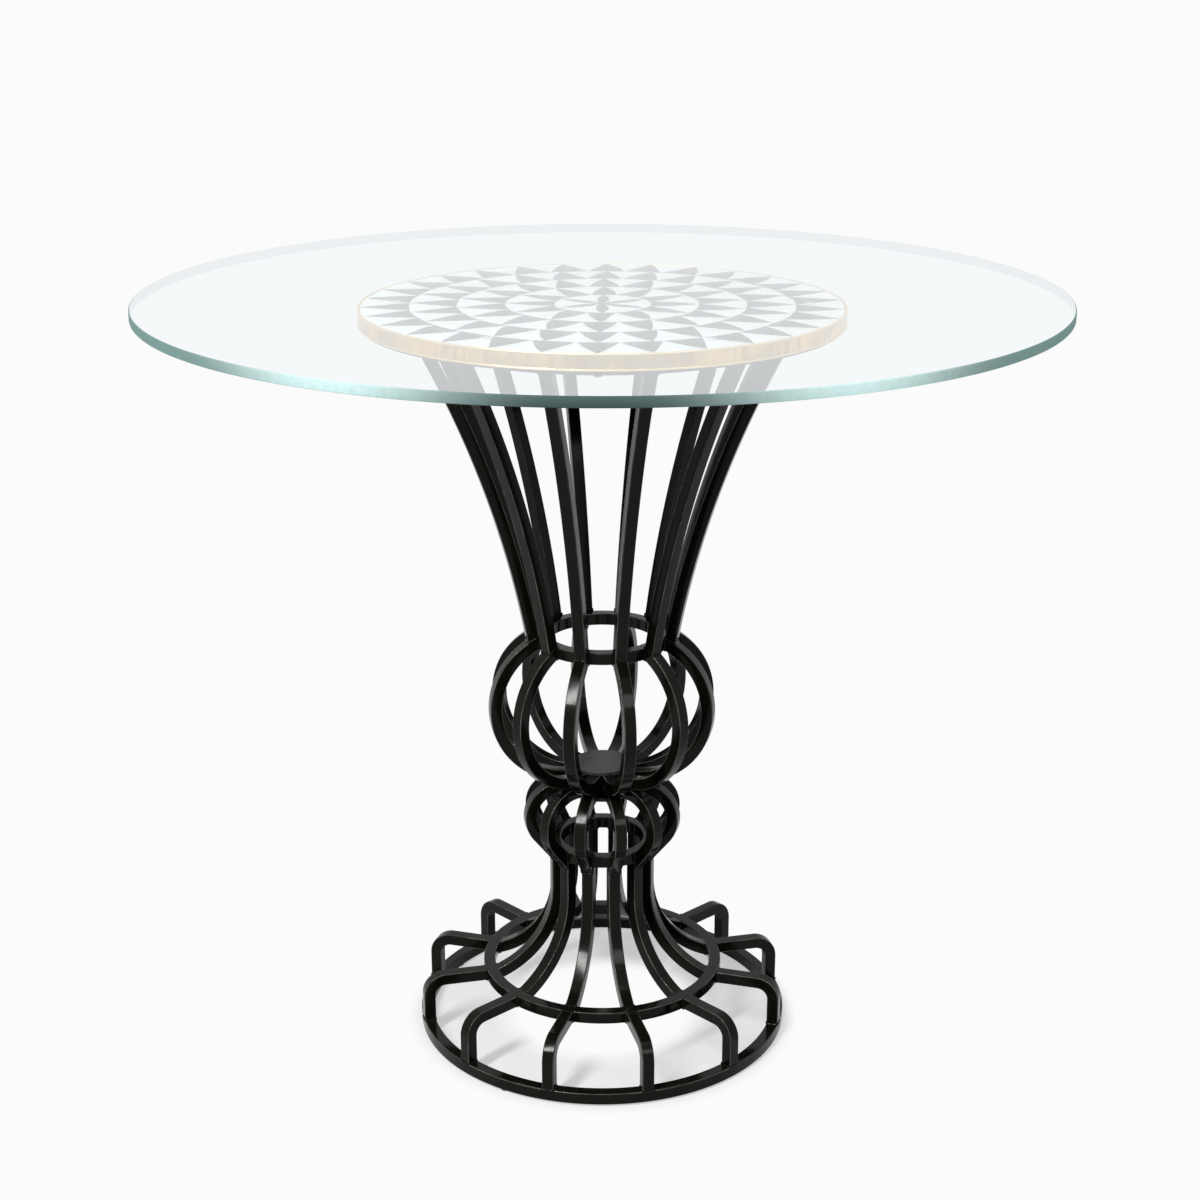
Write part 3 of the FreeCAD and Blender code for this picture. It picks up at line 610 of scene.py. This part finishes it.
# Painted disc: an 18 mm board, painted on top by hand in ivory and soft black and varnished.
# Rings of pointed rays run out from the middle; the underside is plain black.
disc_radius = 0.229
disc_bottom = top_ring_top
disc_top = disc_bottom + 0.018
disc_clearance = 0.0001
disc_edge_rounding = 0.0008
paint_below_lip = 0.0004
paint_edge = 0.002
disc_steps = 384
ray_rings = 5
first_ring_wedges = 6
brush_wander = 0.006


def ray_paint():
    """The number of wedges in a ring is six times the ring's own number. A wedge is dark where its
    half width, shrinking from the ring's inner to its outer edge, covers the angle. A slow noise
    moves the edges about as a brush does."""
    paint = Finish("ray_paint")
    wobble = paint.add("ShaderNodeTexNoise", {"Vector": paint.place, "Scale": 26.0, "Detail": 2.0})
    shifted = paint.add("ShaderNodeVectorMath", {0: wobble.outputs["Color"], 1: (0.5, 0.5, 0.5)},
                        operation="SUBTRACT")
    shifted = paint.add("ShaderNodeVectorMath", {0: shifted.outputs[0], "Scale": brush_wander},
                        operation="SCALE")
    shifted = paint.add("ShaderNodeVectorMath", {0: paint.place, 1: shifted.outputs[0]}, operation="ADD")
    split = paint.axes(shifted.outputs[0])
    reach = paint.math("SQRT", paint.math("ADD", paint.math("MULTIPLY", split[0], split[0]),
                                          paint.math("MULTIPLY", split[1], split[1])))
    rings = paint.math("DIVIDE", reach, disc_radius / ray_rings)
    ring = paint.math("FLOOR", rings)
    across = paint.math("FRACT", rings)
    turns = paint.math("DIVIDE", paint.math("ARCTAN2", split[1], split[0]), 2 * np.pi)
    wedges = paint.math("MULTIPLY", paint.math("ADD", ring, 1.0), first_ring_wedges)
    wedge = paint.math("FRACT", paint.math("ADD", paint.math("MULTIPLY", turns, wedges),
                                           paint.math("MULTIPLY", ring, 0.5)))
    aside = paint.math("ABSOLUTE", paint.math("SUBTRACT", paint.math("MULTIPLY", wedge, 2.0), 1.0))
    inside = paint.math("SUBTRACT", paint.math("SUBTRACT", 1.0, across), aside)
    dark = paint.spread(inside, -0.008, 0.012)
    strokes = paint.noise(55, 5, 0.65, paint.stretched(1.0, 6.0, 1.0))
    ivory = paint.mix(paint.spread(strokes, 0.3, 0.75), (0.96, 0.97, 0.95), (0.84, 0.86, 0.86))
    black = paint.mix(paint.spread(strokes, 0.35, 0.8), (0.006, 0.006, 0.010), (0.035, 0.035, 0.045))
    face = paint.mix(dark, ivory, black)
    top = paint.math("GREATER_THAN", paint.axes()[2], disc_top - paint_edge)
    paint.feed(paint.mix(top, (0.012, 0.012, 0.012), face), paint.surface.inputs["Base Color"])
    paint.feed(paint.spread(strokes, 0.3, 0.7, 0.22, 0.34), paint.surface.inputs["Roughness"])
    paint.surface.inputs["Specular IOR Level"].default_value = 0.15
    paint.relief((strokes, 0.00008))
    return paint.material


disc_inset = disc_radius - disc_clearance - disc_edge_rounding
disc_profile = rounded_corner(disc_inset, disc_bottom + disc_edge_rounding, disc_edge_rounding, -90, 0)
disc_profile += rounded_corner(disc_inset, disc_top - paint_below_lip - disc_edge_rounding,
                               disc_edge_rounding, 0, 90)
disc = skin("painted_round", [turned(disc_profile, disc_steps)])
dress(disc, ray_paint(), "painted_board", "base", "painted_disc")

# Edge band: a thin brass strip bent round the disc, its top and bottom edges rolled over into
# small lips, buffed by hand so that the face stays gently wavy. It stops just short of the underside.
band_radius = 0.2315
band_bottom = disc_bottom + 0.002
band_steps = 480
lip_radius = 0.0011
lip_reach = 0.0026
face_setback = 0.0006
strip_chamfer = 0.0003
pale_lip_start, pale_lip_full = 0.0024, 0.0014


def buffed_brass():
    """Warm brass with slow dents in the face, fine rubbed lines along it, darker streaks across and uneven
    tarnish, which also paints in reflections of a patchy room. The lips at both edges are a little duller,
    and painted paler as a highlight along the rolled edges."""
    brass = Finish("brass_band")
    dents = brass.noise(20, 2, 0.4)
    rubbed = brass.noise(260, 4, 0.7, brass.stretched(1.0, 1.0, 9.0))
    tarnish_and_painted_reflection = brass.spread(brass.noise(18, 4, 0.6), 0.40, 0.62)
    height = brass.axes()[2]
    from_middle = brass.math("ABSOLUTE", brass.math("SUBTRACT", height, (band_bottom + disc_top) / 2))
    half_height = (disc_top - band_bottom) / 2
    lips = brass.spread(from_middle, half_height - pale_lip_start, half_height - pale_lip_full)
    # Tarnish: blotches of darker and lighter brass, which also stand in for painted reflections of a
    # patchy room.
    face = brass.mix(tarnish_and_painted_reflection, (0.80, 0.50, 0.15), (0.48, 0.33, 0.13))
    streaks = brass.spread(brass.noise(210, 3, 0.6, brass.stretched(1.0, 1.0, 0.1)), 0.45, 0.70, 0.0, 0.75)
    face = brass.mix(streaks, face, (0.38, 0.20, 0.03))
    # Paler lips: a painted highlight along the rolled top and bottom edges.
    brass.feed(brass.mix(lips, face, (0.86, 0.62, 0.30)), brass.surface.inputs["Base Color"])
    brass.surface.inputs["Metallic"].default_value = 1.0
    duller_lips = brass.math("MULTIPLY", lips, 0.16)
    sheen = brass.math("ADD", brass.spread(rubbed, 0.3, 0.7, 0.16, 0.30), duller_lips)
    brass.feed(sheen, brass.surface.inputs["Roughness"])
    brass.relief((dents, 0.0065), (rubbed, 0.00003))
    return brass.material


lip_centre = band_radius - lip_radius
band_profile = [(disc_radius, band_bottom + strip_chamfer)]
band_profile += rounded_corner(lip_centre, band_bottom + lip_radius, lip_radius, -90, 80, steps=8)
band_profile += [(band_radius - face_setback, band_bottom + lip_reach),
                 (band_radius - face_setback, disc_top - lip_reach)]
band_profile += rounded_corner(lip_centre, disc_top - lip_radius, lip_radius, -80, 90, steps=8)
band_profile += [(disc_radius, disc_top - strip_chamfer)]
band_ring = turned(band_profile, band_steps).transpose(1, 0, 2)
band = skin("brass_strip", [band_ring], closed=True)
dress(band, buffed_brass(), "brass_band", "base", "edge_band")

# Disc screws: four zinc-plated hexagon-headed screws that hold the board on the pedestal. They go
# up through the top ring, and their heads sit under it.
screw_circle = top_ring_radius - bar / 2
screw_angles = np.radians([0, 90, 180, 270])
screw_head_radius, screw_head_height = 0.0040, 0.0024
head_chamfer_width, head_chamfer_height = 0.0010, 0.0004
head_sides, shank_steps = 6, 16
screw_shank_radius, screw_point_radius = 0.0020, 0.0003
shank_overlap = 0.0002
screw_bite, screw_point_length = 0.0120, 0.0030


def zinc():
    """Bright plating, slightly cloudy."""
    plated = Finish("screw_zinc")
    cloud = plated.noise(400, 3)
    bright = plated.mix(cloud, (0.42, 0.43, 0.45), (0.62, 0.62, 0.60))
    plated.feed(bright, plated.surface.inputs["Base Color"])
    plated.surface.inputs["Metallic"].default_value = 1.0
    plated.feed(plated.spread(cloud, 0.3, 0.7, 0.25, 0.4), plated.surface.inputs["Roughness"])
    return plated.material


head_profile = [(screw_head_radius - head_chamfer_width, top_ring_bottom - screw_head_height),
                (screw_head_radius, top_ring_bottom - screw_head_height + head_chamfer_height),
                (screw_head_radius, top_ring_bottom)]
shank_profile = [(screw_shank_radius, top_ring_bottom - shank_overlap),
                 (screw_shank_radius, top_ring_top + screw_bite - screw_point_length),
                 (screw_point_radius, top_ring_top + screw_bite)]
screw_shells = []
for angle in screw_angles:
    spot = (screw_circle * np.cos(angle), screw_circle * np.sin(angle))
    screw_shells += [turned(head_profile, head_sides, *spot), turned(shank_profile, shank_steps, *spot)]
screws = skin("board_screws", screw_shells)
screws.data.shade_flat()
dress(screws, zinc(), "screw_steel", "base", "disc_screws")

# Bumpers: six domed buttons of clear soft plastic, stuck in a ring on top of the disc. The glass
# lies loose on them, which keeps it off the paint.
bumper_circle = 0.196
bumper_radius = 0.005
bumper_height = 0.0015
bumper_rounding = 0.0013
bumper_skirt_taper = 0.0001
bumper_steps = 32
glass_bottom = disc_top + bumper_height


def clear_rubber():
    """Clear soft plastic with a slight haze."""
    rubber = Finish("clear_bumper")
    haze = rubber.noise(500, 3)
    milky = rubber.mix(haze, (0.80, 0.83, 0.84), (0.90, 0.92, 0.92))
    rubber.feed(milky, rubber.surface.inputs["Base Color"])
    rubber.feed(rubber.spread(haze, 0.3, 0.7, 0.12, 0.2), rubber.surface.inputs["Roughness"])
    rubber.surface.inputs["Alpha"].default_value = 0.35
    return rubber.material


bumper_profile = [(bumper_radius, disc_top)]
bumper_profile += rounded_corner(bumper_radius - bumper_skirt_taper - bumper_rounding,
                                 glass_bottom - bumper_rounding, bumper_rounding, 0, 90)
bumper_angles = np.radians(60 * np.arange(6))
bumper_shells = [turned(bumper_profile, bumper_steps, bumper_circle * np.cos(angle),
                        bumper_circle * np.sin(angle)) for angle in bumper_angles]
bumpers = skin("bumper_buttons", bumper_shells)
dress(bumpers, clear_rubber(), "clear_bumper", "base", "bumpers")

# Glass top: a 9.5 mm round of clear float glass that lies loose on the bumpers.
# The edge is flat polished with a small arris; through its depth it shows sea green, drawn with a painted
# glow.
glass_radius = 0.4388
glass_top = glass_bottom + 0.0095
arris = 0.0008
arris_softening = 0.0002
glass_steps = 720
edge_waves = 3.0
edge_paling_start, edge_paling_end = 0.001, 0.0005


def clear_pane():
    """Looks through as a pane does at a slant: the share mirrored where a ray enters rises from a
    25th, seen square on, with the square of the slant. The rest goes on with a faint cool tint."""
    pane = Finish("clear_glass")
    slant = pane.add("ShaderNodeLayerWeight", {"Blend": 0.5}).outputs["Facing"]
    mirrored = pane.math("MULTIPLY_ADD", pane.math("MULTIPLY", slant, slant), 0.92, 0.04)
    leaving = pane.add("ShaderNodeNewGeometry").outputs["Backfacing"]
    mirrored = pane.math("MULTIPLY", mirrored, pane.math("SUBTRACT", 1.0, leaving))
    faint = pane.noise(3.0, 2)
    tint = pane.mix(faint, (0.965, 0.983, 0.987), (0.975, 0.99, 0.99))
    through = pane.add("ShaderNodeBsdfTransparent", {"Color": tint}).outputs[0]
    gloss = pane.add("ShaderNodeBsdfAnisotropic",
                     {"Color": (0.955, 0.98, 0.99, 1), "Roughness": 0.02}).outputs[0]
    both = pane.add("ShaderNodeMixShader", {0: mirrored, 1: through, 2: gloss}).outputs[0]
    pane.show(both)
    pane.tree.nodes.remove(pane.surface)
    return pane.material


def sea_green_edge_with_painted_glow():
    """The polished edge in deep sea green, with painted light: a painted glow, as of light that has run
    through the pane, painted paler along the upper part and towards the sides, and painted glints in
    four spots where the third sine of the turn is large, weighted by how far the rim faces front or back."""
    edge = Finish("glass_edge")
    split = edge.axes()
    turn = edge.math("ARCTAN2", split[0], split[1])
    waves = edge.math("ABSOLUTE", edge.math("SINE", edge.math("MULTIPLY", turn, edge_waves)))
    forward = edge.math("DIVIDE", split[1], glass_radius)
    facing = edge.math("MULTIPLY", edge.math("MULTIPLY", forward, forward), 1.33)
    # Painted glints: four pale spots round the rim.
    painted_glints = edge.math("MULTIPLY", edge.math("POWER", waves, 3.4), facing)
    # Painted light: the edge is paler towards its top.
    up = edge.spread(split[2], glass_bottom + edge_paling_start, glass_top - edge_paling_end)
    grain = edge.noise(240, 3)
    deep = edge.mix(up, (0.036, 0.058, 0.053), (0.060, 0.096, 0.088))
    # Painted light: paler where the rim faces the sides, deepest where it faces front and back.
    painted_light_sidewards = edge.spread(edge.math("ABSOLUTE", forward), 0.95, 0.55)
    deep = edge.mix(painted_light_sidewards, deep, (0.165, 0.262, 0.246))
    pale = edge.mix(up, (0.54, 0.735, 0.715), (0.60, 0.785, 0.77))
    green = edge.mix(edge.math("MULTIPLY", painted_glints, edge.spread(grain, 0.2, 0.8, 0.88, 1.0)), deep, pale)
    # Painted glow: the base colour is darkened, and the edge gives off green light of its own, though it
    # is no lamp.
    edge.feed(edge.mix(0.75, green, (0.02, 0.03, 0.03)), edge.surface.inputs["Base Color"])
    edge.feed(green, edge.surface.inputs["Emission Color"])
    edge.surface.inputs["Emission Strength"].default_value = 0.92
    edge.surface.inputs["Specular IOR Level"].default_value = 0.0
    edge.feed(edge.spread(grain, 0.3, 0.7, 0.25, 0.35), edge.surface.inputs["Roughness"])
    behind = edge.add("ShaderNodeNewGeometry").outputs["Backfacing"]
    through = edge.add("ShaderNodeBsdfTransparent", {"Color": (0.70, 0.73, 0.75, 1)}).outputs[0]
    both = edge.add("ShaderNodeMixShader", {0: behind, 1: edge.surface.outputs[0], 2: through}).outputs[0]
    edge.show(both)
    return edge.material


# From the face out to the edge, each step as (in from the edge, in from the face). Both corners
# of the arris are softened.
arris_steps = [(arris + arris_softening, 0), (arris - arris_softening, arris_softening),
               (arris_softening / 2, arris), (0, arris + 1.5 * arris_softening)]
glass_profile = [(glass_radius - inset, glass_bottom + rise) for inset, rise in arris_steps]
glass_profile += [(glass_radius - inset, glass_top - rise) for inset, rise in reversed(arris_steps)]
glass = skin("glass_round", [turned(glass_profile, glass_steps)])
dress(glass, clear_pane(), "clear_glass", "top", "glass_top")
glass.data.materials.append(sea_green_edge_with_painted_glow())
caps_and_walls = np.ones(len(glass.data.polygons), dtype=np.int32)
caps_and_walls[-2:] = 0
glass.data.polygons.foreach_set("material_index", caps_and_walls)

# Studio: a wide pale floor that runs to the horizon. It keeps the soft shadow in a ring under the
# foot, evens out to near white inside and outside of it, and isn't there for a view from below.
floor_size = 90.0
near_white = 0.965
floor_lift = 0.50
shade_inner_edge = (0.085, 0.125)
shade_outer_edge = (0.186, 0.208)
floor_mesh = bpy.data.meshes.new("studio_floor")
floor_mesh.from_pydata([(-floor_size, -floor_size, 0), (floor_size, -floor_size, 0),
                        (floor_size, floor_size, 0), (-floor_size, floor_size, 0)], [], [(0, 1, 2, 3)])
floor = bpy.data.objects.new("studio_floor", floor_mesh)
bpy.context.scene.collection.objects.link(floor)
pale_floor = Finish("pale_floor")
pale_floor.surface.inputs["Base Color"].default_value = (0.33, 0.33, 0.333, 1)
pale_floor.surface.inputs["Roughness"].default_value = 1.0
pale_floor.surface.inputs["Specular IOR Level"].default_value = 0.0
own_light = pale_floor.add("ShaderNodeEmission", {"Strength": floor_lift}).outputs[0]
even_light = pale_floor.add("ShaderNodeEmission", {"Strength": near_white}).outputs[0]
away = pale_floor.add("ShaderNodeVectorMath", {0: pale_floor.place}, operation="LENGTH").outputs["Value"]
rays = pale_floor.add("ShaderNodeLightPath").outputs
seen = pale_floor.math("MAXIMUM", rays["Is Glossy Ray"], rays["Is Transmission Ray"])
seen = pale_floor.math("MAXIMUM", rays["Is Camera Ray"], seen)
lifted = pale_floor.add("ShaderNodeAddShader", {0: pale_floor.surface.outputs[0], 1: own_light}).outputs[0]
evened = pale_floor.math("MAXIMUM", pale_floor.spread(away, *shade_outer_edge),
                         pale_floor.spread(away, *shade_inner_edge, 1.0, 0.0))
lifted = pale_floor.add("ShaderNodeMixShader", {0: evened, 1: lifted, 2: even_light}).outputs[0]
seen_floor = pale_floor.add("ShaderNodeMixShader",
                            {0: seen, 1: pale_floor.surface.outputs[0], 2: lifted}).outputs[0]
from_below = pale_floor.add("ShaderNodeNewGeometry").outputs["Backfacing"]
no_floor = pale_floor.add("ShaderNodeBsdfTransparent").outputs[0]
seen_floor = pale_floor.add("ShaderNodeMixShader", {0: from_below, 1: seen_floor, 2: no_floor}).outputs[0]
pale_floor.show(seen_floor)
floor_mesh.materials.append(pale_floor.material)

# Light: an even white room that shows as near white and lights as a much dimmer one, a tall narrow
# lamp at the left of the camera with a wider dim one just behind it, and two weak square ones, at
# the camera's right and overhead.
room_light_level = 0.21
lamp_aim = Vector((0.0, 0.0, 0.35))
world = bpy.data.worlds.new("white_room")
bpy.context.scene.world = world
world.use_nodes = True
room = world.node_tree
room_light = room.nodes["Background"]
room_rays = room.nodes.new("ShaderNodeLightPath")
looking = room_rays.outputs["Is Camera Ray"]
for other_rays in ("Is Glossy Ray", "Is Transmission Ray"):
    either = room.nodes.new("ShaderNodeMath")
    either.operation = "MAXIMUM"
    room.links.new(looking, either.inputs[0])
    room.links.new(room_rays.outputs[other_rays], either.inputs[1])
    looking = either.outputs[0]
level = room.nodes.new("ShaderNodeMapRange")
level.inputs["To Min"].default_value = room_light_level
level.inputs["To Max"].default_value = near_white
room.links.new(looking, level.inputs["Value"])
room.links.new(level.outputs["Result"], room_light.inputs["Strength"])
room_light.inputs["Color"].default_value = (1.0, 1.0, 1.0, 1)

for name, width, height, power, place in (
    ("tall_left_lamp", 0.28, 2.0, 120, (-1.28, -1.84, 2.68)),
    ("wide_left_lamp", 0.60, 2.9, 6, (-1.33, -1.91, 2.70)),
    ("right_lamp", 0.9, 0.9, 15, (1.35, -2.30, 2.20)),
    ("overhead_lamp", 0.9, 0.9, 6, (0.3, -0.4, 3.2)),
):
    lamp = bpy.data.lights.new(name, "AREA")
    lamp.shape = "RECTANGLE"
    lamp.size = width
    lamp.size_y = height
    lamp.energy = power
    stand = bpy.data.objects.new(name, lamp)
    bpy.context.scene.collection.objects.link(stand)
    stand.location = place
    stand.rotation_euler = (lamp_aim - Vector(place)).to_track_quat("-Z", "Y").to_euler()

# Camera: the photograph's view, about two metres off, looking down 18.6 degrees, and moved a
# little to the right round the table.
camera_tilt = 18.59
camera_turn = 1.3
eye = bpy.data.cameras.new("camera")
eye.lens = 62.18
eye.sensor_width = 36.0
eye.clip_end = 200.0
camera = bpy.data.objects.new("camera", eye)
bpy.context.scene.collection.objects.link(camera)
camera.location = (0.0420, -1.9512, 1.1146)
camera.rotation_euler = (np.radians(90 - camera_tilt), 0, np.radians(camera_turn))
bpy.context.scene.camera = camera
bpy.context.scene.view_settings.view_transform = "Standard"
